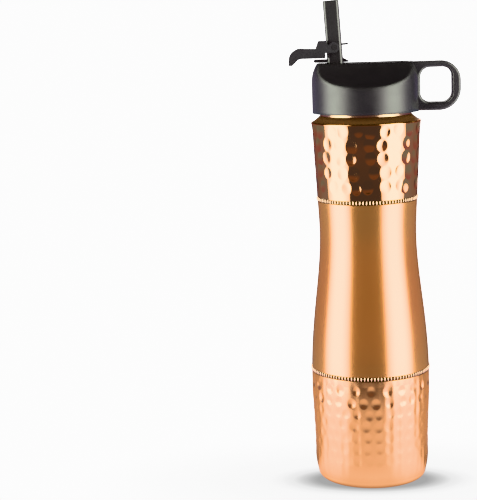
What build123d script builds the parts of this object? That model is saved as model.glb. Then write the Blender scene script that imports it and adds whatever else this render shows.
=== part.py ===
from build123d import *
import os

# Copper water bottle with a screw-on sports lid, standing upright with its spout open.
# Millimetres. Origin on the bottle's axis at the resting plane, +Z up, +X towards the carry loop.

# ---- copper vessel ----
WALL = 0.8                    # copper sheet
BASE_Z = 0.0
FOOT_R = 33.0                 # flat part of the underside
FOOT_TOP = (36.4, 4.2)        # end of the rounded bottom corner (radius, height)
BELLY_R = 39.5                # widest, just under the lower ring
BELLY_Z = 58.0
LOWER_RING_Z = 75.6
WAIST_R = 32.15               # narrowest
WAIST_Z = 165.0
UPPER_RING_Z = 190.5
SHOULDER_R = 36.1
SHOULDER_Z = 240.3
SHOULDER_ROUND = 0.9
NECK_R = 30.0
NECK_FOOT_Z = 245.2
NECK_TOP_Z = 255.7
NECK_LIP = 0.3                # rounding of the drinking edge
# outline between foot and shoulder: (radius, height)
BODY_OUTLINE = [FOOT_TOP, (38.3, 22.0), (BELLY_R, BELLY_Z), (38.75, 92.0), (36.05, 120.0),
                (33.3, 144.5), (WAIST_R, WAIST_Z), (33.25, 192.5), (34.7, 221.5),
                (SHOULDER_R, SHOULDER_Z)]
OUTLINE_TANGENTS = [(0.35, 1.0), (0.15, 1.0)]
FOOT_BULGE = (2.45, 1.25)     # middle of the bottom corner's arc, from the flat's edge
CONE_INSET = 0.8              # how much lower the inner cone lies, per millimetre of wall
BASE_DISC_R = 31.5
BASE_DISC_T = 1.0
GROOVE_R = 24.0               # stiffening groove pressed into the underside
GROOVE_DEPTH = 0.6
BEAD_LENGTH = 2.5
BEAD_PROUD = 0.55             # how far the beads stand out of the copper
BEAD_BURIED = 0.3             # depth of the blank that is trimmed to the body

# ---- screw thread between neck and lid ----
LEAD = 4.0                    # rise per turn
TURNS = 1.25
THREAD_DEPTH = 0.9
THREAD_WIDTH = 1.5            # at the ridge's root
THREAD_BURIED = 0.15          # how deep the ridge's root sits in the wall
NECK_THREAD_Z = 248.2
LINER_THREAD_R = 30.3         # crest of the liner's inward ridge

# ---- lid ----
LID_R = 35.0
LID_BOTTOM = 246.8
LID_TOP = 279.0
LID_SHOULDER_Z = 267.0        # where the side starts to curve in
LID_TOP_R = 31.4
LID_MID = (34.05, 273.4)      # a point on the curved side
RIDGE_HALF = 10.0             # half width of the flat bridge across the top
SCOOP_LIP_Z = 264.4           # lowest point of the scooped faces, at the side wall
SCOOP_SAG = 2.3               # how far a scooped face lies below a flat one
LID_WALL = 2.2
EDGE_ROUND = 2.0
SKIRT_INNER_R = 33.4
SCOOP_WALL = 1.2              # drop of a scoop's underside, in wall thicknesses
BOSS_WALL = 2.0               # round the seat seal
LINER_TOP = 259.5
LINER_GAP = 0.1
LINER_FOOT = 247.6
LINER_R = 33.35
LINER_BORE = 31.7
PLATE_T = 1.9
GASKET_T = 1.8
GASKET_R = (28.8, 31.4)       # inside and outside

# ---- carry loop ----
LOOP_OUT_X = 61.8
LOOP_HALF = 7.0               # half width across
LOOP_TOP = 278.8
LOOP_BOTTOM = 246.8
LOOP_TOP_CORNER = 12.5
LOOP_LOW_CORNER = 14.0
LOOP_ROOT_X = 23.0            # where the loop's slab ends inside the lid
GAP_X = (35.8, 56.0)
GAP_Z = (252.2, 274.8)
GAP_CORNER = 6.2
LOOP_EDGE = 1.8

# ---- flip spout ----
HINGE = (-18.8, 273.5)        # spout's hinge, x and z
LEAN = 3.3                    # degrees that the open spout leans past upright
SPOUT_HALF = 5.2              # half width of the rounded square pipe
SPOUT_CORNER = 2.4
BORE_R = 2.6
SPOUT_LENGTH = 46.2           # hinge to tip
SPIGOT_R = 3.9
SPIGOT_TOP = 41.0
LIP_ROUND = 1.0               # mouthpiece's outer edge
MOUTH_ROUND = 0.8             # mouthpiece's inner edge
SLEEVE_FOOT = 20.0            # where the soft mouthpiece begins
DRUM_R = 6.0
DRUM_HALF = 7.0
TROUGH_HALF = 7.6
TROUGH_FLOOR = 263.4
TROUGH_X = (-26.0, 27.9)
COVER_PIVOT = 15.9            # hinge to cover pivot, along the spout
TRUNNION_R = 1.9
TAB_LENGTH = 14.4
TAB_Z = (6.15, 8.3)
VENT_ALONG = 17.4             # vent pin's place along the spout
VENT_PIN_R = 0.65
VENT_PIN_REACH = 9.2
VENT_ROOT = 3.6
VENT_X = HINGE[0] + VENT_ALONG
GROMMET_R = 1.9
GROMMET_BORE = 0.8
GROMMET_LIP_R = 3.1
GROMMET_LIP = 2.2             # height above the trough's floor
GROMMET_FLANGE = 0.8
SEAL_R = 5.1
SEAL_FOOT = 260.2
SEAL_TOP = 268.0              # stays under the folded spout's pipe
SEAL_BORE = 2.4
STOP_HALF = 1.5
STOP_OUTLINE = [(4.4, 9.2), (5.1, 8.8), (9.2, 6.2), (8.4, 5.7), (4.4, 5.7)]
TAB_HALF = 4.5
PIN_R = 1.5
PIN_START = 3.7               # stub pins, distance of their ends from the middle plane
PIN_END = 9.6
RUN = 0.05                    # radial clearance of running fits

# ---- cover lever ----
COVER_HALF = 7.0
COVER_CHEEK = 1.25
COVER_END_R = 3.5
COVER_WEB = 1.4
COVER_LOW = -6.9              # outer face of the web, below the pivot
COVER_TIP_X = -29.8           # end of the hooked finger tip, from the pivot

# ---- straw ----
TUBE_R = 3.2                  # connector outside, straw inside
STRAW_WALL = 0.9
STRAW_FOOT = 9.0
STRAW_TOP = 255.0
CONNECTOR_FOOT = 245.0
CONNECTOR_BORE = 2.2
CONNECTOR_FLANGE = (5.2, 1.4) # radius and thickness
STRAW_SLANT = 35              # degrees of the cut at the straw's foot

BEYOND = 20.0                 # how far cutting tools run past what they cut


def revolved(outline):
    """Solid of revolution about Z from a closed outline given in the XZ plane."""
    return revolve(Plane.XZ * make_face(outline), Axis.Z)


def tube(outer, inner, low, high, x=0.0):
    """Upright tube, or a rod where inner is 0."""
    height = high - low
    body = Pos(x, 0, low) * Cylinder(outer, height, align=(Align.CENTER, Align.CENTER, Align.MIN))
    if inner > 0:
        body -= Pos(x, 0, low) * Cylinder(inner, height, align=(Align.CENTER, Align.CENTER, Align.MIN))
    return body


def block(x_range, y_range, z_range):
    """Box between two corners."""
    size = [b - a for a, b in (x_range, y_range, z_range)]
    corner = (x_range[0], y_range[0], z_range[0])
    return Pos(*corner) * Box(*size, align=(Align.MIN, Align.MIN, Align.MIN))


def crosswise(radius, half, x, z):
    """Cylinder lying along Y."""
    return Pos(x, 0, z) * Rot(90, 0, 0) * Cylinder(radius, 2 * half)


def profile_slab(outline, half):
    """Extrude a closed XZ outline by the same amount to both sides of Y = 0."""
    return extrude(Plane.XZ * make_face(outline), half, both=True)


def thread_ridge(radius, depth, low):
    """One helical ridge with sloping flanks; a negative depth points inwards."""
    path = Helix(LEAD, LEAD * TURNS, radius).moved(Location((0, 0, low)))
    root = THREAD_WIDTH / 2
    crest = THREAD_WIDTH / 5
    sunk = -THREAD_BURIED if depth > 0 else THREAD_BURIED
    points = [(radius + sunk, low - root), (radius + depth, low - crest),
              (radius + depth, low + crest), (radius + sunk, low + root)]
    section = Plane.XZ * make_face(Polyline(points, close=True))
    return sweep(section, path, is_frenet=True)


# ---- copper vessel ----

def vessel_solid(inset):
    """The vessel's full outer form, made smaller all round by inset."""
    outline = [(r - inset, z) for r, z in BODY_OUTLINE]
    side = Spline(outline, tangents=OUTLINE_TANGENTS)
    foot = (FOOT_R, BASE_Z + inset)
    belly = (foot[0] + FOOT_BULGE[0] - inset / 2, foot[1] + FOOT_BULGE[1])
    corner = ThreePointArc(foot, belly, outline[0])
    drop = inset * CONE_INSET
    edge = (SHOULDER_R - inset - SHOULDER_ROUND, SHOULDER_Z + SHOULDER_ROUND - drop)
    neck = (NECK_R - inset, NECK_FOOT_Z - drop)
    rest = Polyline([outline[-1], edge, neck, (0, neck[1]), (0, foot[1]), foot])
    return revolved(Curve() + [corner, side, rest])


def make_vessel_shell():
    shell = vessel_solid(0.0) - vessel_solid(WALL)
    shell -= tube(NECK_R - WALL, 0, NECK_FOOT_Z - BEYOND, NECK_FOOT_Z + BEYOND)
    return shell - tube(BASE_DISC_R, 0, -BEYOND, BEYOND)


def make_base_disc():
    """Stamped bottom, with a shallow groove pressed into its underside."""
    return tube(BASE_DISC_R, 0, 0.0, BASE_DISC_T) - Torus(GROOVE_R, GROOVE_DEPTH)


def make_threaded_neck():
    neck = tube(NECK_R, NECK_R - WALL, NECK_FOOT_Z, NECK_TOP_Z)
    neck = fillet(neck.edges().group_by(Axis.Z)[-1], NECK_LIP)
    return neck + thread_ridge(NECK_R, THREAD_DEPTH, NECK_THREAD_Z)


def body_radius(height):
    """Outside radius of the vessel at a height between foot and shoulder."""
    side = Spline(BODY_OUTLINE, tangents=OUTLINE_TANGENTS)
    return side.find_intersection_points(Axis((0, height), (1, 0)))[0].X


def make_bead_ring(height):
    """Half-round band around the bottle, the outer form of a row of small beads."""
    radius = body_radius(height)
    half = BEAD_LENGTH / 2
    ends = ((radius, height - half), (radius, height + half))
    crown = ThreePointArc(ends[0], (radius + BEAD_PROUD, height), ends[1])
    back = radius - BEAD_BURIED
    inside = Polyline([ends[1], (back, height + half), (back, height - half), ends[0]])
    return revolved(Curve() + [crown, inside]) - vessel_solid(0.0)


# ---- lid ----

def lid_form():
    """Outer form of the lid: round side, domed edge, flat bridge and two scooped faces."""
    form = revolved(side_outline(0.0, LID_BOTTOM))
    for side in (-1, 1):
        form -= scoop(side, 0.0)
    hollows = form.faces().filter_by(GeomType.CYLINDER)
    hollows = hollows.filter_by(lambda face: RIDGE_HALF < abs(face.center().Y) < LID_TOP_R - 5.0)
    return fillet(hollows.edges(), EDGE_ROUND)


def side_outline(inset, low):
    """Half section of the lid's round form, made smaller by inset, down to the height low."""
    side_foot = (LID_R - inset, LID_SHOULDER_Z - inset)
    bend = (LID_MID[0] - inset, LID_MID[1] - inset)
    brow = (LID_TOP_R - inset, LID_TOP - inset)
    return Curve() + [
        Polyline([brow, (0, brow[1]), (0, low), (side_foot[0], low), side_foot]),
        ThreePointArc(side_foot, bend, brow),
    ]


def scoop(side, drop):
    """Tool that hollows one finger scoop out of the lid's top, lowered by drop."""
    ridge = (side * RIDGE_HALF, LID_TOP - drop)
    lip = (side * LID_R, SCOOP_LIP_Z - drop)
    middle = ((ridge[0] + lip[0]) / 2, (ridge[1] + lip[1]) / 2 - SCOOP_SAG)
    rim = side * (LID_R + BEYOND)
    outline = Curve() + [
        ThreePointArc(ridge, middle, lip),
        Polyline([lip, (rim, lip[1]), (rim, LID_TOP + BEYOND), (ridge[0], LID_TOP + BEYOND), ridge]),
    ]
    return extrude(Plane.YZ * make_face(outline), LID_R + BEYOND, both=True)


def lid_cavity():
    """Hollow between the lid's outer walls, the trough and the threaded liner."""
    low = LINER_TOP + LINER_GAP
    hollow = revolved(side_outline(LID_WALL, low))
    for side in (-1, 1):
        hollow -= scoop(side, LID_WALL * SCOOP_WALL)
    x_walls = (TROUGH_X[0] - LID_WALL, TROUGH_X[1] + LID_WALL)
    half = TROUGH_HALF + LID_WALL
    trough_walls = block(x_walls, (-half, half), (TROUGH_FLOOR - LID_WALL, LID_TOP))
    boss = tube(SEAL_R + BOSS_WALL, 0, low, TROUGH_FLOOR, HINGE[0])
    return hollow - trough_walls - boss


def make_lid_shell():
    shell = lid_form() - lid_cavity()
    shell -= tube(SKIRT_INNER_R, 0, LID_BOTTOM - BEYOND, LINER_TOP + LINER_GAP)
    shell -= block(TROUGH_X, (-TROUGH_HALF, TROUGH_HALF), (TROUGH_FLOOR, LID_TOP + BEYOND))
    shell -= tube(SEAL_R, 0, SEAL_FOOT, LID_TOP, HINGE[0])
    shell -= tube(TUBE_R, 0, LINER_TOP, SEAL_FOOT, HINGE[0])
    shell -= tube(GROMMET_R, 0, LINER_TOP, LID_TOP, VENT_X)
    return shell - crosswise(PIN_R, PIN_END, *HINGE)


def make_carry_loop():
    """Flat loop moulded on the lid's side, seen as a rounded D."""
    top_centre = (LOOP_OUT_X - LOOP_TOP_CORNER, LOOP_TOP - LOOP_TOP_CORNER)
    low_centre = (LOOP_OUT_X - LOOP_LOW_CORNER, LOOP_BOTTOM + LOOP_LOW_CORNER)
    top_arc = CenterArc(top_centre, LOOP_TOP_CORNER, 0, 90)
    low_arc = CenterArc(low_centre, LOOP_LOW_CORNER, 270, 90)
    sides = [
        Polyline([top_arc @ 1, (LOOP_ROOT_X, LOOP_TOP), (LOOP_ROOT_X, LOOP_BOTTOM), low_arc @ 0]),
        Line(low_arc @ 1, top_arc @ 0),
    ]
    slab = profile_slab(Curve() + [top_arc, low_arc] + sides, LOOP_HALF)
    middle = ((GAP_X[0] + GAP_X[1]) / 2, (GAP_Z[0] + GAP_Z[1]) / 2)
    gap = RectangleRounded(GAP_X[1] - GAP_X[0], GAP_Z[1] - GAP_Z[0], GAP_CORNER)
    slab -= extrude(Plane.XZ * Pos(*middle) * gap, LOOP_HALF + BEYOND, both=True)
    outer_edges = slab.edges().filter_by(lambda edge: abs(abs(edge.center().Y) - LOOP_HALF) < 0.01)
    rim = outer_edges.filter_by(lambda edge: edge.center().X > LOOP_ROOT_X + 1.0)
    return fillet(rim, LOOP_EDGE) - revolved(side_outline(0.0, LID_BOTTOM))


def make_lid_liner():
    liner = tube(LINER_R, LINER_BORE, LINER_FOOT, LINER_TOP)
    liner += tube(LINER_R, 0, LINER_TOP - PLATE_T, LINER_TOP)
    liner -= tube(TUBE_R, 0, LID_BOTTOM, LID_TOP, HINGE[0])
    liner -= tube(GROMMET_R, 0, LID_BOTTOM, LID_TOP, VENT_X)
    return liner + thread_ridge(LINER_BORE, LINER_THREAD_R - LINER_BORE, NECK_THREAD_Z + LEAD / 2)


def make_lid_gasket():
    top = LINER_TOP - PLATE_T
    return tube(GASKET_R[1], GASKET_R[0], top - GASKET_T, top)


def make_seat_seal():
    """Soft collar whose hollow top bears on the spout's drum."""
    collar = tube(SEAL_R, SEAL_BORE, SEAL_FOOT, SEAL_TOP, HINGE[0])
    return collar - crosswise(DRUM_R + RUN, DRUM_HALF + BEYOND, *HINGE)


def make_vent_grommet():
    floor = TROUGH_FLOOR - LID_WALL
    lip = tube(GROMMET_LIP_R, GROMMET_BORE, TROUGH_FLOOR, TROUGH_FLOOR + GROMMET_LIP, VENT_X)
    stem = tube(GROMMET_R, GROMMET_BORE, floor, TROUGH_FLOOR, VENT_X)
    flange = tube(GROMMET_LIP_R, GROMMET_BORE, floor - GROMMET_FLANGE, floor, VENT_X)
    return lip + stem + flange


# ---- straw ----

def make_straw_connector():
    plate = LINER_TOP - PLATE_T
    pipe = tube(TUBE_R, CONNECTOR_BORE, CONNECTOR_FOOT, SEAL_FOOT, HINGE[0])
    return pipe + tube(CONNECTOR_FLANGE[0], CONNECTOR_BORE, plate - CONNECTOR_FLANGE[1], plate, HINGE[0])


def make_drinking_straw():
    straw = tube(TUBE_R + STRAW_WALL, TUBE_R, STRAW_FOOT, STRAW_TOP, HINGE[0])
    below = block((-BEYOND, BEYOND), (-BEYOND, BEYOND), (-BEYOND, 0.0))
    return straw - Pos(HINGE[0], 0, STRAW_FOOT) * Rot(0, STRAW_SLANT, 0) * below


# ---- spout: shaped upright about its hinge, then leaned back ----

def placed(local):
    """Carry a shape from the spout's own frame to the open, leaning spout."""
    return Pos(HINGE[0], 0, HINGE[1]) * Rot(0, -LEAN, 0) * local


def post(low, high):
    """Upright rounded square rod, the outside of the spout's pipe."""
    section = RectangleRounded(2 * SPOUT_HALF, 2 * SPOUT_HALF, SPOUT_CORNER)
    return Pos(0, 0, low) * extrude(section, high - low)


def make_spout():
    body = crosswise(DRUM_R, DRUM_HALF, 0, 0) + post(0, SLEEVE_FOOT)
    body += tube(SPIGOT_R, 0, 0, SPIGOT_TOP)
    body += crosswise(TRUNNION_R, COVER_HALF, 0, COVER_PIVOT)
    body += Rot(0, LEAN, 0) * thumb_tab()
    body += profile_slab(Polyline(STOP_OUTLINE, close=True), STOP_HALF)
    body -= tube(BORE_R, 0, -BEYOND, SPOUT_LENGTH)
    for side in (-1, 1):
        body -= Pos(0, side * (PIN_START + BEYOND), 0) * crosswise(PIN_R + RUN, BEYOND, 0, 0)
    body -= Pos(VENT_ROOT, 0, VENT_ALONG) * Rot(0, 90, 0) * tube(VENT_PIN_R, 0, 0, BEYOND)
    return placed(body)


def thumb_tab():
    """Flat tab with a rolled end, pointing away from the carry loop."""
    roll = (TAB_Z[1] - TAB_Z[0]) / 2
    plate = block((-TAB_LENGTH + roll, -BORE_R - 0.4), (-TAB_HALF, TAB_HALF), TAB_Z)
    return plate + crosswise(roll, TAB_HALF, -TAB_LENGTH + roll, (TAB_Z[0] + TAB_Z[1]) / 2)


def make_mouthpiece():
    sleeve = post(SLEEVE_FOOT, SPOUT_LENGTH)
    sleeve = fillet(sleeve.edges().group_by(Axis.Z)[-1], LIP_ROUND)
    sleeve -= tube(SPIGOT_R, 0, SLEEVE_FOOT, SPIGOT_TOP)
    sleeve -= tube(BORE_R, 0, SLEEVE_FOOT, SPOUT_LENGTH + BEYOND)
    mouth = sleeve.edges().filter_by(GeomType.CIRCLE)
    mouth = mouth.filter_by(lambda edge: edge.radius < BORE_R + 0.1).sort_by(Axis.Z)[-1]
    return placed(fillet(mouth, MOUTH_ROUND))


def make_vent_pin():
    pin = tube(VENT_PIN_R, 0, 0, VENT_PIN_REACH - VENT_ROOT)
    return placed(Pos(VENT_ROOT, 0, VENT_ALONG) * Rot(0, 90, 0) * pin)


def make_hinge_pin(side):
    middle = side * (PIN_START + PIN_END) / 2
    return Pos(0, middle, 0) * crosswise(PIN_R, (PIN_END - PIN_START) / 2, *HINGE)


def make_mouthpiece_cover():
    """Channel-shaped lever with two cheeks around the spout and a hooked finger tip."""
    pivot = placed(Location((0, 0, COVER_PIVOT))).position
    side_view = Curve() + [
        Polyline([(-3.2, 1.4), (-5.7, 4.2), (-10.4, 4.2), (-12.2, -0.9), (-20.5, -0.6)]),
        ThreePointArc((-20.5, -0.6), (-26.9, -1.9), (-29.6, -6.5)),
        Polyline([(-29.6, -6.5), (COVER_TIP_X, -11.2), (-27.4, -11.2)]),
        ThreePointArc((-27.4, -11.2), (-25.3, -9.2), (-23.7, -7.5)),
        Polyline([(-23.7, -7.5), (-21.5, COVER_LOW), (-5.9, COVER_LOW), (-5.9, -COVER_END_R),
                  (0, -COVER_END_R)]),
        ThreePointArc((0, -COVER_END_R), (COVER_END_R * 0.98, 0.7), (-3.2, 1.4)),
    ]
    lever = profile_slab(side_view, COVER_HALF)
    inside = COVER_HALF - COVER_CHEEK
    lever -= block((COVER_TIP_X - BEYOND, BEYOND), (-inside, inside), (COVER_LOW + COVER_WEB, BEYOND))
    lever -= crosswise(TRUNNION_R + RUN, COVER_HALF + BEYOND, 0, 0)
    return Pos(*pivot) * lever


PARTS = {
    "vessel_shell": make_vessel_shell(),
    "base_disc": make_base_disc(),
    "threaded_neck": make_threaded_neck(),
    "lower_bead_ring": make_bead_ring(LOWER_RING_Z),
    "upper_bead_ring": make_bead_ring(UPPER_RING_Z),
    "lid_shell": make_lid_shell(),
    "carry_loop": make_carry_loop(),
    "lid_liner": make_lid_liner(),
    "lid_gasket": make_lid_gasket(),
    "seat_seal": make_seat_seal(),
    "vent_grommet": make_vent_grommet(),
    "straw_connector": make_straw_connector(),
    "drinking_straw": make_drinking_straw(),
    "spout": make_spout(),
    "mouthpiece": make_mouthpiece(),
    "vent_pin": make_vent_pin(),
    "hinge_pin_front": make_hinge_pin(-1),
    "hinge_pin_rear": make_hinge_pin(1),
    "mouthpiece_cover": make_mouthpiece_cover(),
}

os.makedirs("parts", exist_ok=True)
for name, shape in PARTS.items():
    export_step(shape, f"parts/{name}.step")
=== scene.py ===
from math import cos, pi, radians, sin

import bpy
import numpy as np
from mathutils import Matrix


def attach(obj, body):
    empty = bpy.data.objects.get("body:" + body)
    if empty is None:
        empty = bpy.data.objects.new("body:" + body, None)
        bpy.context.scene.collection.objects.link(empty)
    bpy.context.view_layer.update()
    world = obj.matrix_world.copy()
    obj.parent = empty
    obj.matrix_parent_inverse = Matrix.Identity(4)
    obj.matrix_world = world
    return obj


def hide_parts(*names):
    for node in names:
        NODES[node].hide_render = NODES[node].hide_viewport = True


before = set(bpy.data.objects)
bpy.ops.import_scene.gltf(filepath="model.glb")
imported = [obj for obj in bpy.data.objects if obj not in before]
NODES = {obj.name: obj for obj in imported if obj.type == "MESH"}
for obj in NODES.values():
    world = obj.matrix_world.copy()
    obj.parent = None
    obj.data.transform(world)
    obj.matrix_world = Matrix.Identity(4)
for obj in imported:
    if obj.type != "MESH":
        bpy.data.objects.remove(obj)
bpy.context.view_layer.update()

# Copper water bottle: hammered, beaded and satin copper under a black sports lid.
# Metres, +Z up, +X towards the carry loop. The camera stands on the -Y side.

MM = 0.001
WHITE = (1.0, 1.0, 1.0, 1.0)
BLACK = (0.0, 0.0, 0.0, 1.0)

# ---- camera ----
CAMERA_PLACE = (0.0, -0.9425, 0.3164)
CAMERA_YAW = 5.27             # degrees, turned to the left of +Y
CAMERA_PITCH = 9.61           # degrees, looking down
CAMERA_ROLL = 1.94            # degrees
LENS = 102.7                  # on a 36 mm long side
SENSOR = 36.0
CLIP = (0.01, 50.0)

# ---- studio: azimuths in degrees from the camera's side, elevations in degrees ----
# Each zone is (first azimuth, last azimuth, their softness, top elevation, its softness).
TWIST = 3.5                   # how far the studio is turned to the left
PANEL_ZONE = (37.4, 94.5, 1.5, 52.0, 6.0)      # both tall side panels
BACK_ZONE = (170.0, 200.0, 4.0, 25.0, 8.0)     # light strip behind the bottle
BEYOND_ZONE = (94.5, 155.0, 4.0, 32.0, 10.0)   # lifted surroundings between the panels and the strip
PANEL_MIDDLE = 65.5           # where the panels are brightest
PANEL_FALL = (8.0, 34.0)      # how far from there they start and stop dimming
PANEL_LIGHT = (9.5, 2.8)      # in the middle, at the edges
PANEL_TINT = ((1.0, 1.27, 0.95, 1.0), (1.0, 0.98, 0.95, 1.0))  # likewise
BACK_LIGHT = 1.8
LEVEL_RISE = (-15.0, -2.0)    # elevations where the low surroundings turn into those at eye level
HIGH_RISE = (3.0, 12.0)       # and those into the high ones
FRONT_LOW = (0.10, 0.13, 0.22, 1.0)
FRONT_LEVEL = (0.195, 0.155, 0.185, 1.0)
FRONT_HIGH = (0.055, 0.056, 0.054, 1.0)
SIDE_LOW = (1.45, 1.85, 1.6, 1.0)     # added to the low surroundings beyond the panels, in shares of them
SIDE_LEVEL = (0.62, 0.60, 1.30, 1.0)  # and to those at eye level
BACKDROP = 3.0                # plain light that the camera sees

# ---- table top, with painted light and shade: each profile is (distance from the bottle's axis in metres, light) ----
FLOOR_R = 0.31
FLOOR_GRID = (12, 96)         # rings, spokes
PAINTED_SHADOW_MIDDLE = -0.015       # the painted soft shadow's middle lies a little in front of the bottle
PAINTED_SHADOW_SHORT = 2.03          # and it is that much shorter from front to back
# Painted shadow: the glow that the camera sees on the table top, low at the bottle's foot and rising
# outwards.
PAINTED_CONTACT_SHADOW = [(0.0365, 0.43), (0.040, 0.50), (0.0435, 0.60), (0.048, 0.72), (0.053, 0.88), (0.0585, 1.0),
           (0.064, 1.2), (0.071, 1.45), (0.10, 1.6), (0.14, 2.0), (0.20, BACKDROP)]
# Painted light and shade that the copper mirrors of it: in front of the bottle, beside it and behind it.
PAINTED_LIGHT_FRONT = [(0.034, 0.5), (0.040, 1.2), (0.050, 1.4), (0.070, 1.25), (0.135, 0.95), (0.20, 0.8),
             (0.235, 0.5), (0.26, 0.27), (0.31, 0.2)]
PAINTED_LIGHT_BESIDE = [(0.034, 0.5), (0.040, 1.8), (0.050, 2.5), (0.070, 2.8), (0.11, 3.1), (0.15, 3.6), (0.31, 4.4)]
PAINTED_LIGHT_BEHIND = [(0.034, 0.3), (0.050, 0.4), (0.070, 0.5), (0.085, 0.65), (0.11, 0.75), (0.31, 0.7)]
PAINTED_LIGHT_BLEND = 15.0              # half the width in degrees of the change at a panel's edge
PAINTED_RIM_FADE = (0.20, 0.27)       # where the front of the table top's painted light, as the copper mirrors it, takes on the dim surroundings' bluish colour
# painted bluish tint of that front rim in the copper's reflections
PAINTED_RIM_TINT = (0.5, 0.65, 1.0)

# ---- copper vessel, in millimetres like the CAD model ----
WALL = 0.8
FOOT_R = 33.0
INNER_CORNER = (34.6, 2.0)    # radius and height where the inside wall bends under
INNER_FOOT_R = 32.6           # where that bend meets the foot's flat
BASE_HOLE_R = 31.5            # opening in the foot that the base disc closes
OUTLINE = [(36.4, 4.2), (38.3, 22.0), (39.5, 58.0), (38.75, 92.0), (36.05, 120.0),
           (33.3, 144.5), (32.15, 165.0), (33.25, 192.5), (34.7, 221.5), (36.1, 240.3)]
END_SLOPES = (0.35, 0.15)     # radius gained per millimetre of height at the outline's two ends
SHOULDER_ROUND = 0.9
CONE_BOW = 1.25               # how hollow the cone above the shoulder is; 1 is straight
NECK_R = 30.0
NECK_FOOT = 245.2
NECK_LIP = 0.6                # height of the straight wall inside the neck's foot
LOWER_RING = 75.6
UPPER_RING = 190.5
BAND_HALF = (1.6, 1.3)        # near-black band of painted shade below and above a bead ring's middle
BEAD_PITCH = 2.19
BEAD_SIZE = (0.32, 0.38, 1.25)  # proud, half width, half length
BEAD_GRID = (10, 9)           # mesh points round a bead and along it

# ---- the vessel's mesh ----
COLUMNS = 720                 # round the vessel
FINE_STEP = 0.45              # height of a mesh row in the hammered bands
WAIST_STEP = 2.0              # and in the smooth waist
BAND_ROWS = 7                 # in each band of painted shade
CORNER_ROWS = 8               # in the foot's rounded corner
EDGE_BENDS = (30, 60, 90)     # degrees at the rows over the shoulder's edge
CONE_SHARES = (0.25, 0.5, 0.75, 0.9, 1.0)  # where the cone's rows lie between shoulder and neck
BAND_GAPS = (0.1, 1.0, 0.5)   # clearance of the other rows below the lower band, above it, below the upper
INSIDE_SKIP = 4               # one row inside for this many outside
NEARLY = 0.01                 # heights closer than this count as the same

# ---- hammer dents: (height, turn of the row in degrees from the camera's side, count, radius, depth) ----
UPPER_ROWS = [(236.5, 6.0, 23, 3.8, 0.42), (228.0, 1.5, 23, 3.8, 0.42), (218.8, 0.5, 23, 3.8, 0.42),
              (209.4, 4.0, 23, 3.8, 0.42), (200.0, 4.5, 23, 3.8, 0.42)]
LOWER_ROWS = [(67.0, 0.4, 24, 3.2, 0.45), (59.1, 5.8, 29, 3.3, 0.43), (51.2, -3.0, 34, 3.3, 0.27),
              (43.3, 6.2, 31, 3.6, 0.25), (35.4, -3.0, 34, 3.6, 0.22), (27.5, 6.0, 31, 3.8, 0.21),
              (19.6, -3.0, 34, 3.8, 0.18)]
DENT_TALL = 1.15              # height of a dent over its width
RADIUS_SPREAD = (0.9, 1.1)
DEPTH_SPREAD = (0.7, 1.2)
STRAY_TURN = 0.02             # radians that a dent strays from its place in the row
STRAY_HEIGHT = 0.35
SKEW = 0.3                    # how much deeper one side of a dent may be
STREAK_WAVES = 14             # waves that add up to the upright streaks
STREAK_COUNTS = (14, 48)      # how often a wave may repeat round the vessel
STREAK_LEAN = 0.05            # most radians that a wave turns per millimetre of height
STREAK_SWING = 6.0            # sum of the waves at which a streak is twice its usual depth
STREAK_FADE = 4.0             # height over which the streaks fade at a band's edges
UPPER_STREAKS = (240.0, 0.02)   # their top, and their size in the upper band
LOWER_STREAKS = (5.0, 0.15)     # their foot, and their size in the lower band

# ---- finishes, sizes of marks and grain in metres ----
COPPER_EDGE = (0.80, 0.62, 0.52, 1.0)    # tint of copper seen at a low angle
BLACK_SHINE = (1.0, 0.83, 0.93, 1.0)     # tint of the shine on the black plastics
LID_SOFT = 0.003              # how far the shading rounds the lid's corners
BEVEL_SAMPLES = 6
NOISE_RANGE = (0.3, 0.7)      # where nearly all values of a soft noise lie
TONE_RANGE = (0.82, 1.18)     # darkest and lightest share of a plain finish's colour
RIPPLE = 0.35                 # depth of the copper's round ripples over that of its turning marks
# (roughness, its spread, darker tone, lighter tone, depth of the turning marks, how metallic)
COPPERS = {
    "copper_mirror": (0.06, 0.015, (0.88, 0.415, 0.18), (0.92, 0.445, 0.20), 0.000001, 1.0),
    "copper_satin": (0.19, 0.015, (0.89, 0.365, 0.145), (0.92, 0.38, 0.155), 0.000002, 0.92),
    "copper_soft": (0.20, 0.02, (0.89, 0.405, 0.185), (0.93, 0.435, 0.205), 0.000002, 1.0),
    # beads are a paler, whiter copper than the vessel: painted highlight
    "copper_bead_painted_highlight": (0.13, 0.03, (0.95, 0.54, 0.42), (0.97, 0.58, 0.46), 0.000001, 1.0),
    # near-black copper round the bead rings: painted shade under and between the beads
    "copper_patina": (0.45, 0.05, (0.035, 0.016, 0.006), (0.05, 0.024, 0.009), 0.000002, 1.0),
    "copper_shoulder": (0.40, 0.04, (0.20, 0.094, 0.060), (0.26, 0.122, 0.078), 0.000003, 0.8),
    "copper_neck": (0.18, 0.03, (0.56, 0.34, 0.22), (0.62, 0.38, 0.25), 0.000002, 1.0),
    "copper_inside": (0.34, 0.05, (0.82, 0.36, 0.15), (0.88, 0.40, 0.18), 0.000004, 1.0),
}
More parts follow.
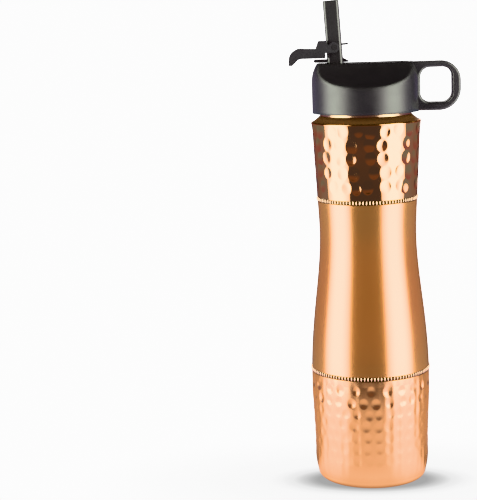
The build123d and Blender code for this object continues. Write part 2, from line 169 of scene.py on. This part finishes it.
# (colour, roughness, its spread, depth of the grain, specular level, tint of the shine, softness)
PLAINS = {
    "black_satin_plastic": ((0.0155, 0.0120, 0.0155), 0.36, 0.03, 0.000004, 0.57, BLACK_SHINE, LID_SOFT),
    "black_trim_plastic": ((0.028, 0.0222, 0.028), 0.34, 0.03, 0.000004, 0.55, BLACK_SHINE, 0.0),
    "black_gloss_plastic": ((0.026, 0.0212, 0.0255), 0.10, 0.03, 0.000001, 0.5, BLACK_SHINE, 0.0),
    "liner_plastic": ((0.02, 0.02, 0.02), 0.45, 0.05, 0.000004, 0.5, WHITE, 0.0),
    "clear_silicone": ((0.72, 0.72, 0.70), 0.42, 0.05, 0.000003, 0.4, WHITE, 0.0),
    "dark_silicone": ((0.02, 0.02, 0.02), 0.55, 0.05, 0.000004, 0.4, WHITE, 0.0),
    "straw_plastic": ((0.78, 0.80, 0.80), 0.28, 0.04, 0.000002, 0.5, WHITE, 0.0),
    "steel_pin": ((0.55, 0.55, 0.53), 0.28, 0.05, 0.000002, 0.5, WHITE, 0.0),
}
# CAD nodes that are seen as they are, and their finishes
DRESSED = {
    "base_disc": "copper_inside",
    "threaded_neck": "copper_neck",
    "lid_shell": "black_satin_plastic",
    "carry_loop": "black_trim_plastic",
    "lid_liner": "liner_plastic",
    "lid_gasket": "clear_silicone",
    "seat_seal": "clear_silicone",
    "vent_grommet": "dark_silicone",
    "straw_connector": "liner_plastic",
    "drinking_straw": "straw_plastic",
    "hinge_pin_front": "steel_pin",
    "hinge_pin_rear": "steel_pin",
    "spout": "black_gloss_plastic",
    "mouthpiece": "black_gloss_plastic",
    "vent_pin": "black_gloss_plastic",
    "mouthpiece_cover": "black_trim_plastic",
}


# ======== shader helpers ========

def new_material(name):
    """Empty material with a Principled shader; returns the material and a small node builder."""
    material = bpy.data.materials.new(name)
    material.use_nodes = True
    return material, Nodes(material.node_tree)


class Nodes:
    """Short names for building a node tree."""

    def __init__(self, tree):
        self.tree = tree
        self.shader = tree.nodes.get("Principled BSDF")

    def add(self, kind, settings=None, **inputs):
        """Add a node; settings set its properties, and inputs set or link its sockets by name."""
        node = self.tree.nodes.new(kind)
        for key, value in (settings or {}).items():
            setattr(node, key, value)
        for key, value in inputs.items():
            self.feed(node, key.replace("_", " "), value)
        return node

    def feed(self, node, socket, value):
        """Put a number, a colour or another node's output into a socket."""
        target = node.inputs[socket]
        if isinstance(value, bpy.types.NodeSocket):
            self.tree.links.new(value, target)
        else:
            target.default_value = value

    def math(self, operation, first, second=0.0):
        """One sum, product or function of two numbers."""
        node = self.add("ShaderNodeMath", {"operation": operation})
        self.feed(node, 0, first)
        self.feed(node, 1, second)
        return node.outputs[0]

    def length(self, vector):
        """Length of a vector."""
        node = self.add("ShaderNodeVectorMath", {"operation": "LENGTH"}, Vector=vector)
        return node.outputs["Value"]

    def ramp(self, value, stops):
        """Colour ramp from (position, colour) pairs."""
        node = self.add("ShaderNodeValToRGB", Fac=value)
        elements = node.color_ramp.elements
        stops = list(stops)
        while len(elements) < len(stops):
            elements.new(0.5)
        for element, (position, colour) in zip(elements, stops):
            element.position = position
            element.color = (*colour, 1.0)
        return node.outputs["Color"]

    def blend(self, share, first, second):
        """Mix of two colours: the first at share 0, the second at share 1."""
        node = self.add("ShaderNodeMix", {"data_type": "RGBA"})
        for socket, value in zip((0, 6, 7), (share, first, second)):
            self.feed(node, socket, value)
        return node.outputs[2]

    def remap(self, value, low, high, to_low, to_high, smooth=False):
        """Carry the range from low to high over to another range, and stay level beyond it."""
        kind = "SMOOTHSTEP" if smooth else "LINEAR"
        node = self.add("ShaderNodeMapRange", {"interpolation_type": kind})
        for socket, number in enumerate((value, low, high, to_low, to_high)):
            self.feed(node, socket, number)
        return node.outputs[0]

    def fade_in(self, value, middle, half):
        """Smooth step from 0 to 1 round a middle value."""
        return self.remap(value, middle - half, middle + half, 0.0, 1.0, smooth=True)

    def fade_out(self, value, middle, half):
        """Smooth step from 1 to 0 round a middle value."""
        return self.remap(value, middle - half, middle + half, 1.0, 0.0, smooth=True)

    def profile(self, value, stops):
        """Straight lines through (value, result) pairs, level beyond both ends."""
        reach = stops[-1][0]
        peak = max(level for place, level in stops)
        grey = [(place / reach, (level / peak,) * 3) for place, level in stops]
        return self.math("MULTIPLY", self.ramp(self.math("DIVIDE", value, reach), grey), peak)

    def turn(self, x, y):
        """Degrees away from the camera's side, the same to the left and to the right."""
        angle = self.math("ARCTAN2", x, self.math("MULTIPLY", y, -1.0))
        return self.math("ABSOLUTE", self.math("ADD", self.math("MULTIPLY", angle, 180 / pi), TWIST))

    def coordinates(self, scale=(1.0, 1.0, 1.0)):
        """Object coordinates in metres, stretched per axis."""
        place = self.add("ShaderNodeTexCoord").outputs["Object"]
        mapping = self.add("ShaderNodeMapping", Vector=place, Scale=scale)
        return mapping.outputs["Vector"]

    def noise(self, vector, scale, detail, roughness):
        """Soft noise about 0.5; scale counts its lumps per metre."""
        node = self.add("ShaderNodeTexNoise", Vector=vector, Scale=scale, Detail=detail,
                        Roughness=roughness)
        return node.outputs["Fac"]

    def bump(self, height, distance, normal=None):
        """Relief of a depth in metres, laid over another normal if there is one."""
        node = self.add("ShaderNodeBump", Height=height, Distance=distance, Strength=1.0)
        if normal is not None:
            self.feed(node, "Normal", normal)
        return node.outputs["Normal"]

    def principled(self, **inputs):
        """Set or link the Principled shader's sockets by name."""
        for key, value in inputs.items():
            self.feed(self.shader, key.replace("_", " "), value)


# ======== materials ========

def copper_material(name, rough, rough_spread, darker, lighter, lines, metal):
    """Polished or satin copper; lines is the depth in metres of the fine turning marks."""
    material, n = new_material(name)
    place = n.coordinates()
    cloud = n.noise(place, scale=22.0, detail=5.0, roughness=0.6)
    colour = n.ramp(cloud, zip(NOISE_RANGE, (darker, lighter)))
    smear = n.noise(n.coordinates((60.0, 60.0, 900.0)), scale=1.0, detail=3.0, roughness=0.6)
    blotch = n.noise(place, scale=60.0, detail=4.0, roughness=0.55)
    mix = n.math("ADD", n.math("MULTIPLY", smear, 0.6), n.math("MULTIPLY", blotch, 0.4))
    roughness = n.remap(mix, *NOISE_RANGE, rough - rough_spread, rough + rough_spread)
    marks = n.noise(n.coordinates((90.0, 90.0, 2600.0)), scale=1.0, detail=2.0, roughness=0.5)
    ripple = n.noise(place, scale=900.0, detail=3.0, roughness=0.6)
    normal = n.bump(ripple, lines * RIPPLE, n.bump(marks, lines))
    n.principled(Base_Color=colour, Metallic=metal, Roughness=roughness, Normal=normal,
                 Specular_Tint=COPPER_EDGE)
    return material


def plain_material(name, colour, rough, rough_spread, grain, specular, tint, softness):
    """Moulded plastic, rubber or plain steel: faint clouding, a fine grain and uneven gloss."""
    material, n = new_material(name)
    place = n.coordinates()
    cloud = n.noise(place, scale=35.0, detail=4.0, roughness=0.55)
    tones = [tuple(min(1.0, c * share) for c in colour) for share in TONE_RANGE]
    tone = n.ramp(cloud, zip(NOISE_RANGE, tones))
    patches = n.noise(place, scale=120.0, detail=3.0, roughness=0.5)
    roughness = n.remap(patches, *NOISE_RANGE, rough - rough_spread, rough + rough_spread)
    pebble = n.noise(place, scale=2600.0, detail=2.0, roughness=0.5)
    soft = None
    if softness:
        soft = n.add("ShaderNodeBevel", {"samples": BEVEL_SAMPLES}, Radius=softness).outputs[0]
    n.principled(Base_Color=tone, Roughness=roughness, Specular_IOR_Level=specular, Specular_Tint=tint,
                 Normal=n.bump(pebble, grain, soft))
    return material


def make_materials():
    """All finishes, by name."""
    finishes = {name: copper_material(name, *look) for name, look in COPPERS.items()}
    finishes.update({name: plain_material(name, *look) for name, look in PLAINS.items()})
    return finishes


# ======== mesh helpers ========

def mesh_object(name, points, faces, body, materials):
    """New smooth mesh from millimetre points, riding on a body."""
    mesh = bpy.data.meshes.new(name)
    mesh.from_pydata((np.asarray(points) * MM).tolist(), [], faces)
    mesh.update()
    mesh.polygons.foreach_set("use_smooth", [True] * len(mesh.polygons))
    for material in materials:
        mesh.materials.append(material)
    piece = bpy.data.objects.new(name, mesh)
    bpy.context.scene.collection.objects.link(piece)
    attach(piece, body)
    return piece


def ring_faces(rows, columns, closed_rows=False):
    """Quads of a grid that wraps round in its columns, and in its rows where they close."""
    faces = []
    last = rows if closed_rows else rows - 1
    for row in range(last):
        for column in range(columns):
            here = row * columns + column
            right = row * columns + (column + 1) % columns
            up = ((row + 1) % rows) * columns + column
            up_right = ((row + 1) % rows) * columns + (column + 1) % columns
            faces.append((here, right, up_right, up))
    return faces


def outline_radius(heights):
    """Outer radius at each height: a cubic spline through OUTLINE, clamped at both ends.

    bend is half the second derivative at each point, so each stretch is
    r + slope * d + bend * d^2 + cubic * d^3, with d the height above its lower end.
    """
    r, z = np.array(OUTLINE).T
    h = np.diff(z)
    count = len(z)
    matrix = np.zeros((count, count))
    target = np.zeros(count)
    matrix[0, :2] = 2 * h[0], h[0]
    target[0] = 3 * ((r[1] - r[0]) / h[0] - END_SLOPES[0])
    matrix[-1, -2:] = h[-1], 2 * h[-1]
    target[-1] = 3 * (END_SLOPES[1] - (r[-1] - r[-2]) / h[-1])
    for i in range(1, count - 1):
        matrix[i, i - 1:i + 2] = h[i - 1], 2 * (h[i - 1] + h[i]), h[i]
        target[i] = 3 * ((r[i + 1] - r[i]) / h[i] - (r[i] - r[i - 1]) / h[i - 1])
    bend = np.linalg.solve(matrix, target)
    slope = np.diff(r) / h - h * (2 * bend[:-1] + bend[1:]) / 3
    cubic = np.diff(bend) / (3 * h)
    spot = np.clip(np.searchsorted(z, heights) - 1, 0, count - 2)
    d = heights - z[spot]
    return r[spot] + slope[spot] * d + bend[spot] * d ** 2 + cubic[spot] * d ** 3


# ======== copper ========

class Dents:
    """Rows of hammer dents round the vessel.

    sharpness is 1 for a bowl with a crisp rim and more for a softer one.
    loose is how far the dents stray from an even row.
    """

    def __init__(self, rows, sharpness, loose, seed):
        rng = np.random.default_rng(seed)
        self.sharpness = sharpness
        self.dents = []
        for height, turn, per_row, radius, depth in rows:
            for k in range(per_row):
                even = radians(turn - 90) + 2 * pi * k / per_row
                angle = even + rng.normal(0, STRAY_TURN * loose)
                middle = height + rng.normal(0, STRAY_HEIGHT * loose)
                reach = radius * rng.uniform(*RADIUS_SPREAD)
                deep = depth * rng.uniform(*DEPTH_SPREAD)
                skew = rng.uniform(-SKEW, SKEW) * loose
                tip = rng.uniform(-SKEW, SKEW) * loose
                self.dents.append((angle, middle, reach, deep, skew, tip))

    def relief(self, angles, heights, body_r):
        """Depth of the dents at a grid of angles (columns) and heights (rows)."""
        relief = np.zeros((len(heights), len(angles)))
        for angle, height, radius, depth, skew, tip in self.dents:
            tall = radius * DENT_TALL
            rows = np.nonzero(np.abs(heights - height) < tall)[0]
            turn = (angles - angle + pi) % (2 * pi) - pi
            columns = np.nonzero(np.abs(turn) * body_r[rows].mean() < radius)[0]
            across = turn[columns][None, :] * body_r[rows][:, None]
            along = (heights[rows] - height)[:, None]
            t = (across / radius) ** 2 + (along / tall) ** 2
            bowl = depth * np.clip(1 - t, 0, None) ** self.sharpness
            bowl *= 1 + skew * across / radius + tip * along / tall
            patch = relief[np.ix_(rows, columns)]
            relief[np.ix_(rows, columns)] = np.maximum(patch, bowl)
        return relief


def streaks(angles, heights, low, high, size, seed):
    """Faint upright waves left by hammering, between two heights."""
    rng = np.random.default_rng(seed)
    wave = np.zeros((len(heights), len(angles)))
    for _ in range(STREAK_WAVES):
        lean = rng.uniform(-STREAK_LEAN, STREAK_LEAN)
        phase = rng.uniform(0, 2 * pi)
        wave += np.cos(rng.integers(*STREAK_COUNTS) * angles[None, :] + lean * heights[:, None] + phase)
    fade = np.clip(np.minimum(heights - low, high - heights) / STREAK_FADE, 0, 1)
    return size * (1 + wave / STREAK_SWING) * fade[:, None]


def side_heights():
    """Heights of the mesh rows from the foot's corner to the shoulder."""
    below, above = BAND_HALF
    under_lower, over_lower, under_upper = BAND_GAPS
    foot, shoulder = OUTLINE[0][1], OUTLINE[-1][1]
    return np.concatenate([
        np.arange(foot, LOWER_RING - below - under_lower, FINE_STEP),
        LOWER_RING + np.linspace(-below, above, BAND_ROWS),
        np.arange(LOWER_RING + above + over_lower, UPPER_RING - below - under_upper, WAIST_STEP),
        UPPER_RING + np.linspace(-below, above, BAND_ROWS),
        np.arange(UPPER_RING + above + FINE_STEP, shoulder - 0.1, FINE_STEP),
        [shoulder]])


def hammering(turn, side, radius):
    """Depth of everything hammered into the side, on a grid of rows and columns."""
    below, above = BAND_HALF
    top, upper_size = UPPER_STREAKS
    foot, lower_size = LOWER_STREAKS
    relief = Dents(UPPER_ROWS, sharpness=1.15, loose=1.8, seed=5).relief(turn, side, radius)
    relief += Dents(LOWER_ROWS, sharpness=1.9, loose=0.8, seed=11).relief(turn, side, radius)
    relief += streaks(turn, side, UPPER_RING + above, top, upper_size, seed=3)
    relief += streaks(turn, side, foot, LOWER_RING - below, lower_size, seed=4)
    return relief


def foot_corner():
    """(radius, height) up the rounded corner between the flat foot and the side."""
    corner_r, corner_z = OUTLINE[0]
    bends = [k / CORNER_ROWS * pi / 2 for k in range(CORNER_ROWS)]
    return [(FOOT_R + (corner_r - FOOT_R) * sin(bend), corner_z * (1 - cos(bend))) for bend in bends]


def shoulder_edge():
    """(radius, height) over the shoulder's rounded edge."""
    shoulder_r, shoulder_z = OUTLINE[-1]
    bends = [radians(bend) for bend in EDGE_BENDS]
    return [(shoulder_r - SHOULDER_ROUND * (1 - cos(bend)), shoulder_z + SHOULDER_ROUND * sin(bend))
            for bend in bends]


def shoulder_cone():
    """(radius, height) up the slightly hollow cone from the shoulder to the neck."""
    start_r = OUTLINE[-1][0] - SHOULDER_ROUND
    start_z = OUTLINE[-1][1] + SHOULDER_ROUND
    return [(start_r + (NECK_R - start_r) * share, start_z + (NECK_FOOT - start_z) * share ** CONE_BOW)
            for share in CONE_SHARES]


def inside_wall(side):
    """(radius, height) down the inside, from the neck's foot to the hole in the foot."""
    heights = side[::-1][::INSIDE_SKIP]
    rows = [(NECK_R - WALL, NECK_FOOT), (NECK_R - WALL, NECK_FOOT - NECK_LIP)]
    rows += [(r - WALL, z) for r, z in zip(outline_radius(heights), heights)]
    return rows + [INNER_CORNER, (INNER_FOOT_R, WALL), (BASE_HOLE_R, WALL), (BASE_HOLE_R, 0.0)]


def side_finish(height):
    """Name of the finish that the outside has just above a height."""
    below, above = BAND_HALF
    for ring in (LOWER_RING, UPPER_RING):
        # the band round each bead ring is near-black copper: painted shade under and between the beads
        if ring - below - NEARLY <= height < ring + above - NEARLY:
            return "copper_patina"
    if height < LOWER_RING:
        return "copper_soft"
    return "copper_satin" if height < UPPER_RING else "copper_mirror"


def make_vessel(finish):
    """Whole vessel: hammered bands and smooth waist outside, plain wall inside."""
    side = side_heights()
    radius = outline_radius(side)
    turn = np.arange(COLUMNS) * 2 * pi / COLUMNS
    hammered = radius[:, None] - hammering(turn, side, radius)
    corner, edge, cone, inside = foot_corner(), shoulder_edge(), shoulder_cone(), inside_wall(side)

    rows = corner + list(zip(hammered, side)) + edge + cone + inside
    points = [np.stack([r * np.cos(turn), r * np.sin(turn), np.full(COLUMNS, z)], axis=1) for r, z in rows]
    faces = ring_faces(len(rows), COLUMNS, closed_rows=True)

    # Each row's finish is that of the faces between it and the next row.
    side_rows = len(corner) + len(side) + len(edge) - 1
    kinds = [side_finish(z) for r, z in rows[:side_rows]]
    kinds += ["copper_shoulder"] * (len(cone) + 1) + ["copper_inside"] * len(inside)
    names = sorted(set(kinds))
    materials = [finish[name] for name in names]
    piece = mesh_object("copper_vessel", np.concatenate(points), faces, "bottle", materials)
    indices = [names.index(kind) for kind in kinds]
    piece.data.polygons.foreach_set("material_index", np.repeat(indices, COLUMNS))
    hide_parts("vessel_shell")


def make_beads(name, height, node, finish):
    """Ring of small upright beads standing half out of a narrow band."""
    radius = float(outline_radius(np.array([height]))[0])
    count = round(2 * pi * radius / BEAD_PITCH)
    around, along = BEAD_GRID
    proud, half_width, half_length = BEAD_SIZE
    points, faces = [], []
    for bead in range(count):
        turn = 2 * pi * bead / count
        base = len(points)
        for j in range(along):
            lean = -pi / 2 + pi * j / (along - 1)
            for i in range(around):
                side = 2 * pi * i / around
                out = proud * cos(lean) * cos(side)
                across = half_width * cos(lean) * sin(side)
                z = height + half_length * sin(lean)
                r = radius + out
                angle = turn + across / radius
                points.append((r * cos(angle), r * sin(angle), z))
        for j in range(along - 1):
            for i in range(around):
                a = base + j * around + i
                b = base + j * around + (i + 1) % around
                faces.append((a, b, b + around, a + around))
    # paler copper on the beads: painted highlight
    piece = mesh_object(name, points, faces, "bottle", [finish["copper_bead_painted_highlight"]])
    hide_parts(node)


# ======== camera, light, floor ========

def make_camera():
    """Camera with the photograph's viewing angle, from the front and a little above."""
    data = bpy.data.cameras.new("camera")
    data.lens = LENS
    data.sensor_width = SENSOR
    data.clip_start, data.clip_end = CLIP
    camera = bpy.data.objects.new("camera", data)
    bpy.context.scene.collection.objects.link(camera)
    aim = Matrix.Rotation(radians(CAMERA_YAW), 4, "Z") @ Matrix.Rotation(radians(90 - CAMERA_PITCH), 4, "X")
    roll = Matrix.Rotation(-radians(CAMERA_ROLL), 4, "Z")
    camera.matrix_world = Matrix.Translation(CAMERA_PLACE) @ aim @ roll
    bpy.context.scene.camera = camera


def make_floor():
    """Round table top that glows by itself.

    The camera sees it pale, with a painted soft shadow close round the bottle's foot, and the copper
    mirrors painted light and shade on it, much brighter beside the bottle than in front of it or behind it.
    """
    rings, spokes = FLOOR_GRID
    turns = np.arange(spokes) * 2 * pi / spokes
    points = []
    for ring in range(1, rings + 1):
        reach = FLOOR_R * ring / rings
        points += [(reach * cos(turn), reach * sin(turn), 0.0) for turn in turns]
    faces = [tuple(range(spokes))] + ring_faces(rings, spokes)
    mesh = bpy.data.meshes.new("floor")
    mesh.from_pydata(points, [], faces)
    floor = bpy.data.objects.new("floor", mesh)
    bpy.context.scene.collection.objects.link(floor)

    material, n = new_material("floor_painted_light_and_shadow")
    place = n.add("ShaderNodeTexCoord").outputs["Object"]
    split = n.add("ShaderNodeSeparateXYZ", Vector=place)
    ahead = n.math("MULTIPLY", n.math("SUBTRACT", split.outputs[1], PAINTED_SHADOW_MIDDLE), PAINTED_SHADOW_SHORT)
    oval = n.add("ShaderNodeCombineXYZ", X=split.outputs[0], Y=ahead).outputs[0]
    # painted shadow round the bottle's foot, seen only by the camera
    shadow = n.profile(n.length(oval), PAINTED_CONTACT_SHADOW)

    # painted light and shade on the table top that only mirrored rays see, brightest beside the bottle
    reach = n.length(place)
    turn = n.turn(split.outputs[0], split.outputs[1])
    front = n.fade_out(turn, PANEL_ZONE[0], PAINTED_LIGHT_BLEND)
    behind = n.fade_in(turn, PANEL_ZONE[1], PAINTED_LIGHT_BLEND)
    beside = n.math("SUBTRACT", n.math("SUBTRACT", 1.0, front), behind)
    lit = 0.0
    for stops, share in ((PAINTED_LIGHT_FRONT, front), (PAINTED_LIGHT_BESIDE, beside), (PAINTED_LIGHT_BEHIND, behind)):
        lit = n.math("ADD", lit, n.math("MULTIPLY", n.profile(reach, stops), share))

    seen = n.add("ShaderNodeLightPath").outputs["Is Camera Ray"]
    mirrored = n.math("SUBTRACT", 1.0, seen)
    glow = n.math("ADD", n.math("MULTIPLY", shadow, seen), n.math("MULTIPLY", lit, mirrored))
    # painted tint: the front rim of the mirrored table top turns bluish
    rim = n.remap(reach, *PAINTED_RIM_FADE, 0.0, 1.0, smooth=True)
    painted_rim_dim = n.math("MULTIPLY", rim, n.math("MULTIPLY", front, mirrored))
    colour = n.ramp(painted_rim_dim, [(0.0, WHITE[:3]), (1.0, PAINTED_RIM_TINT)])
    n.principled(Base_Color=BLACK, Roughness=1.0, Specular_IOR_Level=0.0,
                 Emission_Color=colour, Emission_Strength=glow)
    mesh.materials.append(material)


def make_studio():
    """Surroundings: two tall side panels, a bright back, a dim front and ceiling."""
    world = bpy.data.worlds.new("studio")
    bpy.context.scene.world = world
    world.use_nodes = True
    n = Nodes(world.node_tree)
    way = n.add("ShaderNodeTexCoord").outputs["Generated"]
    split = n.add("ShaderNodeSeparateXYZ", Vector=way)
    x, y, z = (split.outputs[i] for i in range(3))
    turn = n.turn(x, y)
    rise = n.math("MULTIPLY", n.math("ARCSINE", z), 180 / pi)

    def zone(first, last, soft, top, top_soft):
        """1 inside a zone and 0 outside it."""
        wide = n.math("MULTIPLY", n.fade_in(turn, first, soft), n.fade_out(turn, last, soft))
        return n.math("MULTIPLY", wide, n.fade_out(rise, top, top_soft))

    off_middle = n.math("ABSOLUTE", n.math("SUBTRACT", turn, PANEL_MIDDLE))
    light = n.remap(off_middle, *PANEL_FALL, *PANEL_LIGHT, smooth=True)
    tint = n.blend(n.remap(off_middle, *PANEL_FALL, 0.0, 1.0, smooth=True), *PANEL_TINT)
    panels = n.math("MULTIPLY", zone(*PANEL_ZONE), light)
    white = n.math("ADD", panels, n.math("MULTIPLY", zone(*BACK_ZONE), BACK_LIGHT))
    lamps = n.add("ShaderNodeBackground", Color=tint, Strength=white).outputs[0]

    level = n.remap(rise, *LEVEL_RISE, 0.0, 1.0, smooth=True)
    high = n.remap(rise, *HIGH_RISE, 0.0, 1.0, smooth=True)
    front = n.blend(high, n.blend(level, FRONT_LOW, FRONT_LEVEL), FRONT_HIGH)
    side = n.blend(level, SIDE_LOW, SIDE_LEVEL)
    beyond = n.add("ShaderNodeVectorMath", {"operation": "SCALE"}, Vector=side, Scale=zone(*BEYOND_ZONE))
    lifted = n.add("ShaderNodeVectorMath", {"operation": "MULTIPLY_ADD"})
    for socket, value in enumerate((front, beyond.outputs[0], front)):
        n.feed(lifted, socket, value)
    ambient = n.add("ShaderNodeBackground", Color=lifted.outputs[0]).outputs[0]

    lit = n.add("ShaderNodeAddShader")
    n.feed(lit, 0, lamps)
    n.feed(lit, 1, ambient)
    plain = n.add("ShaderNodeBackground", Color=WHITE, Strength=BACKDROP).outputs[0]
    seen = n.add("ShaderNodeLightPath").outputs["Is Camera Ray"]
    either = n.add("ShaderNodeMixShader")
    for socket, value in enumerate((seen, lit.outputs[0], plain)):
        n.feed(either, socket, value)
    n.feed(world.node_tree.nodes["World Output"], "Surface", either.outputs[0])
    bpy.context.scene.view_settings.view_transform = "Khronos PBR Neutral"
    bpy.context.scene.cycles.caustics_reflective = False


def dress(node, material):
    """Give a carried-over CAD node its finish."""
    mesh = NODES[node].data
    for i in range(len(mesh.materials)):
        mesh.materials[i] = material


make_camera()
make_studio()
make_floor()
FINISHES = make_materials()
make_vessel(FINISHES)
make_beads("lower_beads", LOWER_RING, "lower_bead_ring", FINISHES)
make_beads("upper_beads", UPPER_RING, "upper_bead_ring", FINISHES)
for node, name in DRESSED.items():
    dress(node, FINISHES[name])
